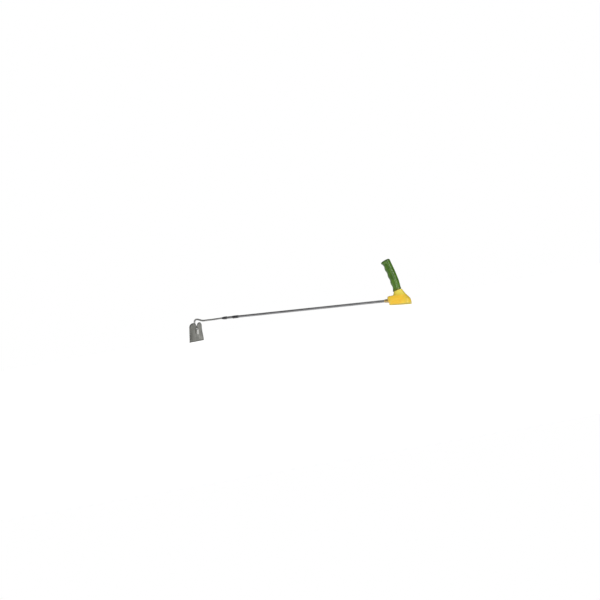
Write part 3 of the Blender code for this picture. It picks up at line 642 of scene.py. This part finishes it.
def yellow_surface():
    """Satin moulded plastic, warm on the base, with painted light and shade: a paler nose, a paler,
    greener neck, a darker, greener rear and a darker olive band along the bottom.

    Its skin is finely spark-eroded, and a parting line stands along the middle.
    """
    s = Surface("yellow_plastic")
    drift = s.remap(s.noise(26.0, 3.0), 0.35, 0.65)
    warm = s.blend(drift, linear(243, 196, 50), linear(248, 206, 64))
    # painted reflection: paler and greener up the neck, under the green grip
    neck = s.remap(s.axis("Z"), 12 * MM, 18 * MM, 0.0, 0.85)
    toned = s.blend(neck, warm, linear(220, 208, 72))
    # painted shade: the rear end is darker and greener
    rear = s.remap(s.axis("X"), 748 * MM, 768 * MM, 0.0, 0.6)
    toned = s.blend(rear, toned, linear(204, 182, 38))
    # painted highlight: the nose is paler
    nose = s.remap(s.axis("X"), 712 * MM, 705 * MM, 0.0, 0.5)
    toned = s.blend(nose, toned, linear(226, 200, 84))
    # painted shade: a darker olive band along the bottom edge
    painted_low_shade = s.remap(s.axis("Z"), -10.5 * MM, -12.5 * MM, 0.0, 0.9)
    toned = s.blend(painted_low_shade, toned, linear(178, 166, 84))
    flow = s.remap(s.noise(48.0, 4.0, stretch=(0.35, 1.0, 1.0), distortion=0.8), 0.5, 0.75, 0.0, 0.22)
    s.plug("Base Color", s.blend(flow, toned, linear(228, 172, 44)))
    s.plug("Roughness", s.remap(s.noise(220.0, 3.0), 0.3, 0.7, 0.30, 0.42))
    s.set(Subsurface_Weight=0.06, Subsurface_Scale=0.004, Coat_Weight=0.15, Coat_Roughness=0.25)
    s.bump(s.noise(2600.0, 2.0), 0.12, 0.00005)
    off_middle = s.maths("ABSOLUTE", s.axis("Y"))
    s.bump(s.remap(off_middle, 0.12 * MM, 0.35 * MM, 1.0, 0.0), 0.35, 0.0001)
    return s.material


def rubber_surface(name, dark, mid, light, rough):
    """Soft-touch rubber: clouded green, pebbled, paler on its ridges; painted light makes its lower part
    paler, and painted shade darkens round its foot.
    """
    s = Surface(name, lean=-GRIP_LEAN)
    cloud = s.remap(s.noise(70.0, 4.0, distortion=0.4), 0.34, 0.68)
    toned = s.blend(cloud, linear(*dark), linear(*mid))
    toned = s.blend(s.maths("MULTIPLY", s.worn(), 0.5), toned, linear(*light))
    foot = GRIP_FOOT.dot(GRIP_UP)
    # painted light: the grip is paler towards its foot
    rubbed = s.remap(s.axis("Z"), foot + 38 * MM, foot + 12 * MM, 0.0, 0.2)
    toned = s.blend(rubbed, toned, linear(*light))
    # painted shade: the foot flare's shadow, dark olive round the foot
    painted_foot_shade = s.remap(s.axis("Z"), foot + 7 * MM, foot + 2 * MM, 0.0, 0.7)
    s.plug("Base Color", s.blend(painted_foot_shade, toned, linear(92, 92, 26)))
    s.plug("Roughness", s.remap(s.noise(160.0, 3.0), 0.3, 0.7, rough - 0.05, rough + 0.07))
    s.set(Specular_IOR_Level=0.15, Coat_Weight=0.7, Coat_Roughness=0.2)
    s.bump(s.cells(1500.0), 0.12, 0.00012)
    off_middle = s.maths("ABSOLUTE", s.axis("Y"))
    s.bump(s.remap(off_middle, 0.1 * MM, 0.4 * MM, 1.0, 0.0), 0.4, 0.00012)
    return s.material


def nylon_surface():
    """Black moulded nylon."""
    s = Surface("nylon")
    s.plug("Base Color", s.blend(s.noise(200.0), linear(30, 30, 30), linear(46, 46, 46)))
    s.plug("Roughness", s.remap(s.noise(400.0), 0.3, 0.7, 0.42, 0.58))
    s.bump(s.noise(1500.0), 0.15, 0.00005)
    return s.material


# ---------------------------------------------------------------- blade and swan neck


def blade_columns():
    """(half-width share, top height) of each column of the blade, from its left side to its right."""
    right = []
    for step in range(LOBE_STEPS + 1):
        angle = math.pi * step / LOBE_STEPS
        inner = LOBE_CENTRE - NOTCH_HALF_WIDTH
        outer = SHOULDER_HALF_WIDTH - LOBE_CENTRE
        reach = inner if angle < math.pi / 2 else outer
        across = LOBE_CENTRE - reach * math.cos(angle)
        top = -BLADE_SHOULDER + (BLADE_SHOULDER - LOBE_TOP) * math.sin(angle) ** LOBE_SQUARENESS
        right.append((across / SHOULDER_HALF_WIDTH, top))
    for step in range(NOTCH_STEPS + 1):
        angle = math.pi / 2 * step / NOTCH_STEPS
        across = NOTCH_HALF_WIDTH - NOTCH_CORNER + NOTCH_CORNER * math.sin(angle)
        height = -NOTCH_FLOOR + NOTCH_CORNER - NOTCH_CORNER * math.cos(angle)
        right.insert(step, (across * NOTCH_TAPER / SHOULDER_HALF_WIDTH, height))
    left = [(-share, top) for share, top in reversed(right)]
    return left + [(0.0, -NOTCH_FLOOR)] + right


def blade_half_width(height):
    """Half the blade's width: straight down the lobes, then flaring to the cutting edge."""
    low = max(-height - BLADE_SHOULDER, 0.0) / (BLADE_BOTTOM - BLADE_SHOULDER)
    return SHOULDER_HALF_WIDTH + (BOTTOM_HALF_WIDTH - SHOULDER_HALF_WIDTH) * low**SIDE_FLARE


def sheet_x(across, height):
    """Where the sheet's middle layer is: it leans, and its sides bow away from the handle."""
    rise = ease(height, -BLADE_BOTTOM, -BLADE_SHOULDER)
    bow = BOW_AT_EDGE + (BOW_AT_SHOULDER - BOW_AT_EDGE) * rise
    return BLADE_LEAN * (height + LEAN_PIVOT) - bow * (abs(across) / SHOULDER_HALF_WIDTH) ** BOW_POWER


def hammered(across, height):
    """The sheet's slight unevenness, fading out at the ground edge."""
    spot = Vector((across * DENT_SCALE[0], height * DENT_SCALE[1], 0.4))
    return DENT_DEPTH * noise.noise(spot) * ease(height, -BLADE_BOTTOM, -BLADE_BOTTOM + DENT_FADE)


def blade_mesh():
    """A front and a back grid of points, joined round their edges."""
    rows = BLADE_ROWS
    verts, faces = [], []
    grids = {-1: [], 1: []}
    for side, grid in grids.items():
        for share, top in blade_columns():
            column = []
            for row in range(rows + 1):
                height = -BLADE_BOTTOM + (top + BLADE_BOTTOM) * (row / rows) ** ROWS_TOWARDS_EDGE
                across = share * blade_half_width(height)
                ground = min((height + BLADE_BOTTOM) / BEVEL_HEIGHT, 1.0)
                thick = EDGE_THICKNESS + (BLADE_THICKNESS - EDGE_THICKNESS) * ground
                depth = (thick if side > 0 else 0.0) - BLADE_THICKNESS / 2
                column.append(len(verts))
                x = sheet_x(across, height) + hammered(across, height) + depth
                verts.append((x, across, height))
            grid.append(column)
    back, front = grids[-1], grids[1]
    last = len(front) - 1
    for grid in (back, front):
        for here, after in zip(grid, grid[1:]):
            for row in range(rows):
                faces.append((here[row], after[row], after[row + 1], here[row + 1]))
    for row in range(rows):
        for end in (0, last):
            faces.append((front[end][row], front[end][row + 1], back[end][row + 1], back[end][row]))
    for here in range(last):
        for row in (0, rows):
            faces.append((front[here][row], front[here + 1][row], back[here + 1][row], back[here][row]))
    return mesh_of("blade_fine", verts, faces)


def build_blade():
    """The blade, its sheared edges slightly rounded."""
    blade = piece("blade_fine", blade_mesh(), blade_surface(), "blade_steel", "blade", sharp=30)
    soften(blade, 0.45 * MM, 50)


def build_tang():
    """The swan-necked rod, with its foot rounded off."""
    neck = [Vector((x * MM, 0, z * MM)) for x, z in NECK_ROUTE]
    landing = (-TANG_LANDING, -TANG_FOOT)
    sheet = [Vector((sheet_x(0, height) + TANG_STANDOFF, 0, height)) for height in landing]
    inside = [Vector((x, 0, 0)) for x in (ROD_REAR, TUBE_FRONT, STRAIGHT_END)]
    route = inside + smooth_route(neck + sheet, 10)
    end, before = route[-1], route[-2]
    down = (end - before).normalized()
    route.pop()
    radii = [ROD_RADIUS] * len(route)
    foot_steps = 8
    for step in range(1, foot_steps + 1):
        angle = math.pi / 2 * step / foot_steps
        route.append(end - down * ROD_RADIUS * 0.8 * (1 - math.sin(angle)))
        radii.append(ROD_RADIUS * max(math.cos(angle), 0.03))
    mesh = pipe("tang_fine", route, radii, 40)
    piece("tang_fine", mesh, rod_surface(), "rod_steel", "tang", sharp=60)


def build_welds():
    """Fillets of overlapping ripples, one on each side of the rod's foot."""
    surface = weld_surface()
    section_steps = 11
    for name, side in (("weld_left", -1), ("weld_right", 1)):
        rings = []
        for row in range(WELD_ROWS + 1):
            share = row / WELD_ROWS
            ripple = 1 - 0.13 * abs(math.cos(math.pi * WELD_RIPPLES * share)) ** 3
            swell = (0.30 + 0.70 * math.sin(math.pi * share) ** 0.4) * ripple
            height = -WELD_TOP - (WELD_BOTTOM - WELD_TOP) * share
            base = sheet_x(0, height) + WELD_OUT
            ring = [Vector((base, side * WELD_ACROSS, height))]
            for step in range(section_steps + 1):
                angle = math.pi / 2 * step / section_steps
                bulge = (1 + 0.12 * math.sin(2 * angle)) * swell
                out = WELD_HEIGHT * math.sin(angle) * bulge
                across = WELD_WIDTH * math.cos(angle) * bulge
                spot = Vector((out * 900, across * 900, height * 900 + side))
                rough = WELD_ROUGHNESS * noise.noise(spot)
                y = side * (WELD_ACROSS + across + rough)
                ring.append(Vector((base + out + rough, y, height)))
            rings.append(ring)
        piece(name + "_fine", loft(name + "_fine", rings), surface, "weld_steel", name, sharp=70)


# ---------------------------------------------------------------- shaft and its fittings


def build_shaft():
    """The tube, the two dark sleeves on its front end, and their rivets."""
    dark = dark_surface()
    outline = [
        (TUBE_RADIUS, TUBE_FRONT), (TUBE_RADIUS, TUBE_REAR),
        (TUBE_BORE, TUBE_REAR), (TUBE_BORE, TUBE_FRONT),
    ]
    tube = turned("shaft_tube_fine", rounded(outline, TUBE_CHAMFER), 64)
    piece("shaft_tube_fine", tube, tube_surface(), "tube_steel", "shaft_tube")
    inner, outer = TUBE_RADIUS + GAP, TUBE_RADIUS + GAP + SLEEVE_WALL
    rod, lip = ROD_RADIUS + GAP, MOUTH_FRONT + MOUTH_LIP
    outline = [
        (MOUTH_NOSE, MOUTH_FRONT), (outer, MOUTH_FRONT + MOUTH_TAPER), (outer, MOUTH_REAR),
        (inner, MOUTH_REAR), (inner, lip), (rod, lip), (rod, MOUTH_FRONT),
    ]
    mouth = turned("mouth_ferrule_fine", rounded(outline, SLEEVE_ROUNDING), 72)
    piece("mouth_ferrule_fine", mouth, dark, "dark_steel", "mouth_ferrule")
    middle = (CRIMP_FRONT + CRIMP_REAR) / 2
    outline = [(outer, CRIMP_FRONT)]
    for centre in (middle - CRIMP_SPREAD, middle + CRIMP_SPREAD):
        outline += groove(outer, centre, *CRIMP_GROOVE)
    outline += [(outer, CRIMP_REAR), (inner, CRIMP_REAR), (inner, CRIMP_FRONT)]
    crimp = turned("crimp_sleeve_fine", rounded(outline, SLEEVE_ROUNDING), 72)
    piece("crimp_sleeve_fine", crimp, dark, "dark_steel", "crimp_sleeve")
    for name, place in RIVET_PLACES.items():
        build_rivet(name, place, outer + GAP, dark)


def groove(radius, centre, lip, floor, depth):
    """Four points of a turned outline: a groove with those half widths at its top and its floor."""
    return [
        (radius, centre - lip), (radius - depth, centre - floor),
        (radius - depth, centre + floor), (radius, centre + lip),
    ]


def build_rivet(name, place, seat, surface):
    """A rivet across the shaft, with a domed head seated on each side."""
    head_steps = 8
    half = []
    for step in range(head_steps + 1):
        angle = math.pi / 2 * step / head_steps
        rise = RIVET_RIM + (RIVET_DOME - RIVET_RIM) * math.cos(angle)
        half.append((max(RIVET_HEAD * math.sin(angle), RIVET_TIP), seat + rise))
    half += [(RIVET_HEAD, seat), (RIVET_RADIUS, seat)]
    profile = half + [(radius, -height) for radius, height in reversed(half)]
    rings = [circle(Vector((place, y, 0)), radius, (1, 0, 0), (0, 0, 1), 40) for radius, y in profile]
    piece(name + "_fine", loft(name + "_fine", rings), surface, "dark_steel", name, sharp=50)


def build_nose_ferrule():
    """The tapered collar at the nose of the base, with two grooves."""
    bore = TUBE_RADIUS + GAP
    outline = [(FERRULE_NOSE, FERRULE_FRONT)]
    for step in FERRULE_GROOVES:
        radius = FERRULE_NOSE + (FERRULE_RADIUS - FERRULE_NOSE) * step / FERRULE_TAPER
        outline += groove(radius, FERRULE_FRONT + step, *FERRULE_GROOVE)
    outline += [(FERRULE_RADIUS, FERRULE_FRONT + FERRULE_TAPER), (FERRULE_RADIUS, FERRULE_REAR)]
    outline += [(bore, FERRULE_REAR), (bore, FERRULE_FRONT)]
    mesh = turned("nose_ferrule_fine", rounded(outline, FERRULE_ROUNDING), 80)
    piece("nose_ferrule_fine", mesh, ferrule_surface(), "ferrule", "nose_ferrule")


# ---------------------------------------------------------------- handle


def body_ring(level, points, inset=0.0, lift=0.0):
    """The body's outline at a level, drawn in by inset and raised by lift."""
    height, front, rear, side, squareness, tilt = level
    centre = Vector(((front + rear) / 2 * MM, 0, height * MM + lift))
    back = Vector((1, 0, math.tan(math.radians(tilt))))
    depth = (rear - front) / 2 * MM - inset
    return oval(centre, back, depth, depth, side * MM - inset, squareness, points)


def smooth_levels(steps):
    """The body's levels with a smooth curve through them in every dimension."""
    places = smooth_route([level[:3] for level in BODY_LEVELS], steps)
    shapes = smooth_route([level[3:] for level in BODY_LEVELS], steps)
    return [(*place, *shape) for place, shape in zip(places, shapes)]


def dented(point):
    """The point pushed in where the plain lens-shaped panel is, on each side of the base."""
    along = (point.x - PANEL_X) / PANEL_HALF_LENGTH
    up = (point.z - PANEL_Z) / PANEL_HALF_HEIGHT
    depth = PANEL_DEPTH * (1 - ease(abs(up) + along * along, PANEL_FLAT, 1.0))
    return point - Vector((0, math.copysign(depth, point.y), 0))


def grip_point(along, back=0.0):
    """The point that far up the grip's axis, and that far behind it."""
    return GRIP_FOOT + GRIP_UP * along + GRIP_BACK * back


def core_rings(low, high, grow=0.0):
    """Two outlines of the grip's oval core, from low to high along the grip's axis."""
    depth, side = CORE_DEPTH + grow, CORE_SIDE + grow
    centres = (grip_point(low, CORE_BACK), grip_point(high, CORE_BACK))
    return [oval(centre, GRIP_BACK, depth, depth, side, 2.0, 64) for centre in centres]


def build_body():
    """The moulding, with a hollow that the cover closes and a core that carries the grip."""
    surface = yellow_surface()
    rings = [[dented(point) for point in body_ring(level, BODY_POINTS)] for level in smooth_levels(8)]
    below = body_ring(BODY_LEVELS[0], CAVITY_POINTS, WALL, -CAVITY_DROP)
    hollow = [body_ring(level, CAVITY_POINTS, WALL) for level in BODY_LEVELS[:CAVITY_LEVELS]]
    last = BODY_LEVELS[CAVITY_LEVELS - 1]
    roof = body_ring(last, CAVITY_POINTS, WALL + ROOF_STEP, CAVITY_ROOF - last[0] * MM)
    top = GRIP_LENGTH - CAP_THICKNESS - GAP
    nose = cylinder((FERRULE_FRONT, 0, 0), (FERRULE_REAR + GAP, 0, 0), FERRULE_RADIUS + GAP, 64)
    steps = [
        ("UNION", loft("core", core_rings(CORE_ROOT, top))),
        ("DIFFERENCE", loft("cavity", [below, *hollow, roof])),
        ("DIFFERENCE", nose),
    ]
    mesh = carve(loft("handle_body_fine", rings), steps)
    piece("handle_body_fine", mesh, surface, "yellow_plastic", "handle_body", sharp=38)
    polished("base_cover", surface, "yellow_plastic", 0.35 * MM)


def grip_ring(along, shrink=0.0, palm_shrink=0.0, slope=0.0):
    """The grip's outline that far up its axis: grooves in front, a swell behind, flared ends."""
    top = GRIP_LENGTH - CAP_THICKNESS
    dip = GROOVE_DEPTH * (0.5 - 0.5 * math.cos(math.tau * (along - FIRST_RIDGE) / GROOVE_PITCH))
    flare = FOOT_FLARE * (1 - ease(along, 0, FLARE_LENGTH))
    flare += TOP_FLARE * ease(along, top - FLARE_LENGTH, top)
    swell = PALM_SWELL * ease(along, 0, PALM_START)
    centre = grip_point(along, GRIP_BEND * math.sin(math.pi * min(along / GRIP_LENGTH, 1)))
    front = GRIP_FRONT - dip + flare - shrink
    rear = GRIP_REAR + swell + 0.2 * flare - shrink - palm_shrink
    side = GRIP_SIDE + 0.5 * FOOT_FLARE * flare / TOP_FLARE - shrink
    back = GRIP_BACK + GRIP_UP * slope
    return oval(centre, back, front, rear, side, GRIP_SQUARENESS, GRIP_POINTS)


def build_grip():
    """The rubber sleeve, rounded at both ends, and the cap above it."""
    low, high = GAP, GRIP_LENGTH - CAP_THICKNESS
    rings = []
    for step in range(LIP_STEPS):
        angle = math.pi / 2 * step / LIP_STEPS
        rings.append(grip_ring(low + FOOT_LIP * (1 - math.cos(angle)), FOOT_LIP * (1 - math.sin(angle))))
    straight = high - low - FOOT_LIP - TOP_LIP
    rings += [grip_ring(low + FOOT_LIP + straight * row / GRIP_ROWS) for row in range(GRIP_ROWS + 1)]
    for step in range(1, LIP_STEPS + 1):
        angle = math.pi / 2 * step / LIP_STEPS
        rings.append(grip_ring(high - TOP_LIP * (1 - math.sin(angle)), TOP_LIP * (1 - math.cos(angle))))
    bore = loft("bore", core_rings(-OVERSHOOT, GRIP_LENGTH + OVERSHOOT, GAP))
    sleeve = carve(loft("grip_sleeve_fine", rings), [("DIFFERENCE", bore)])
    rubber = rubber_surface("grip_rubber", (52, 90, 4), (70, 110, 12), (110, 152, 52), 0.40)
    piece("grip_sleeve_fine", sleeve, rubber, "grip_rubber", "grip_sleeve", sharp=50)
    build_cap(high + GAP)


def build_cap(start):
    """The cap: it slopes up towards the palm, and a screw sits in its middle."""
    thick = GRIP_LENGTH - start
    rings = [grip_ring(start, CAP_SEAM[0]), grip_ring(start + CAP_SEAM[1], CAP_INSET)]
    for step in range(CAP_STEPS + 1):
        angle = math.pi / 2 * step / CAP_STEPS
        share = CAP_WALL + (1 - CAP_WALL) * math.sin(angle)
        drawn_in = 1 - math.cos(angle)
        inset, palm_inset = CAP_INSET + CAP_ROUNDING * drawn_in, CAP_PALM_ROUNDING * drawn_in
        rings.append(grip_ring(start + thick * share, inset, palm_inset, CAP_SLOPE * share))
    above = grip_point(GRIP_LENGTH + OVERSHOOT)
    seat = grip_point(GRIP_LENGTH - CAP_SCREW_SINK - SCREW_HEAD_HEIGHT - GAP)
    steps = [
        ("DIFFERENCE", cylinder(grip_point(start - OVERSHOOT), above, SCREW_RADIUS + GAP)),
        ("DIFFERENCE", cylinder(seat, above, SCREW_HEAD_RADIUS + GAP, 48)),
    ]
    surface = rubber_surface("cap_plastic", (44, 74, 10), (56, 90, 18), (88, 124, 44), 0.42)
    cap = carve(loft("grip_cap_fine", rings), steps)
    piece("grip_cap_fine", cap, surface, "cap_plastic", "grip_cap", sharp=35)


# ---------------------------------------------------------------- carried-over CAD nodes


def polished(node, surface, slot, width):
    """A copy of a CAD node with its facets joined and its edges softened, standing for the node."""
    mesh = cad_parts[node].data.copy()
    shape = bmesh.new()
    shape.from_mesh(mesh)
    bmesh.ops.remove_doubles(shape, verts=shape.verts, dist=1e-6)
    bmesh.ops.dissolve_limit(shape, angle_limit=math.radians(0.5), verts=shape.verts, edges=shape.edges)
    shape.to_mesh(mesh)
    shape.free()
    obj = piece(node + "_fine", mesh, surface, slot, node, sharp=32)
    soften(obj, width, 32)


def build_fixings():
    """The screws, pin, saddle and plug, shaped as in the CAD with softened edges."""
    zinc, nylon = zinc_surface(), nylon_surface()
    for node in ("cover_screw_left", "cover_screw_right", "cover_screw_rear", "grip_screw"):
        polished(node, zinc, "screw_steel", 0.12 * MM)
    for node in ("clamp_screw_left", "clamp_screw_right", "anchor_pin"):
        polished(node, zinc, "screw_steel", 0.1 * MM)
    polished("clamp_saddle", nylon, "nylon", 0.4 * MM)
    polished("tube_plug", nylon, "nylon", 0.2 * MM)


# ---------------------------------------------------------------- stage


def build_stage():
    """A pale glowing floor, the world and three soft lamps."""
    scene = bpy.context.scene
    scene.view_settings.view_transform = "Standard"
    bpy.ops.mesh.primitive_plane_add(size=FLOOR_SIZE, location=(0, 0, -FLOOR_DROP))
    floor = bpy.context.object
    floor.name = "studio_floor"
    pale = bpy.data.materials.new("studio_floor")
    pale.use_nodes = True
    shader = pale.node_tree.nodes["Principled BSDF"]
    shader.inputs["Base Color"].default_value = (0.92, 0.92, 0.92, 1)
    shader.inputs["Roughness"].default_value = 0.9
    shader.inputs["Emission Color"].default_value = (1, 1, 1, 1)
    shader.inputs["Emission Strength"].default_value = FLOOR_GLOW
    floor.data.materials.append(pale)
    build_world(scene)
    for lamp in LAMPS:
        area_light(*lamp)


def build_world(scene):
    """Plain white to the camera, and for light and reflections a dim room with broad soft lights."""
    world = bpy.data.worlds.new("studio")
    scene.world = world
    world.use_nodes = True
    tree = world.node_tree
    tree.nodes.clear()
    link = tree.links.new

    def add(kind, **settings):
        node = tree.nodes.new(kind)
        for key, value in settings.items():
            setattr(node, key, value)
        return node

    white, room = add("ShaderNodeBackground"), add("ShaderNodeBackground")
    white.inputs["Color"].default_value = (1, 1, 1, 1)
    where, path, mix = add("ShaderNodeTexCoord"), add("ShaderNodeLightPath"), add("ShaderNodeMixShader")
    total = None
    for direction, start, level in ROOM_LIGHTS:
        aim = add("ShaderNodeVectorMath", operation="DOT_PRODUCT")
        aim.inputs[1].default_value = Vector(direction).normalized()
        link(where.outputs["Generated"], aim.inputs[0])
        lobe = add("ShaderNodeMapRange", interpolation_type="SMOOTHSTEP")
        lobe.inputs["From Min"].default_value = start
        lobe.inputs["From Max"].default_value = 1.0
        lobe.inputs["To Max"].default_value = level
        link(aim.outputs["Value"], lobe.inputs["Value"])
        together = add("ShaderNodeMath", operation="ADD")
        if total is None:
            together.inputs[0].default_value = ROOM_DIM
        else:
            link(total, together.inputs[0])
        link(lobe.outputs["Result"], together.inputs[1])
        total = together.outputs[0]
    link(total, room.inputs["Strength"])
    room.inputs["Color"].default_value = (1, 1, 1, 1)
    link(path.outputs["Is Camera Ray"], mix.inputs["Fac"])
    link(room.outputs[0], mix.inputs[1])
    link(white.outputs[0], mix.inputs[2])
    link(mix.outputs[0], add("ShaderNodeOutputWorld").inputs["Surface"])


def area_light(name, place, width, height, power):
    """An oval lamp aimed at the point that all lamps share."""
    light = bpy.data.lights.new(name, "AREA")
    light.shape = "ELLIPSE"
    light.size = width
    light.size_y = height
    light.energy = power
    obj = bpy.data.objects.new(name, light)
    obj.location = place
    obj.rotation_mode = "QUATERNION"
    obj.rotation_quaternion = (Vector(LAMP_TARGET) - Vector(place)).to_track_quat("-Z", "Y")
    bpy.context.scene.collection.objects.link(obj)


def build_camera():
    """The camera, given by its place, its direction round and above the tool, and its roll."""
    azimuth, elevation = math.radians(CAMERA_AZIMUTH), math.radians(CAMERA_ELEVATION)
    level = math.cos(elevation)
    forward = -Vector((math.sin(azimuth) * level, -math.cos(azimuth) * level, math.sin(elevation)))
    camera = bpy.data.cameras.new("camera")
    camera.lens = CAMERA_LENS
    camera.sensor_width = 36
    camera.shift_x, camera.shift_y = CAMERA_SHIFT
    camera.clip_end = CAMERA_REACH
    obj = bpy.data.objects.new("camera", camera)
    obj.location = CAMERA_PLACE
    obj.rotation_mode = "QUATERNION"
    roll = Quaternion((0, 0, 1), math.radians(CAMERA_ROLL))
    obj.rotation_quaternion = forward.to_track_quat("-Z", "Y") @ roll
    bpy.context.scene.collection.objects.link(obj)
    bpy.context.scene.camera = obj


build_camera()
build_blade()
build_tang()
build_welds()
build_shaft()
build_nose_ferrule()
build_body()
build_grip()
build_fixings()
build_stage()
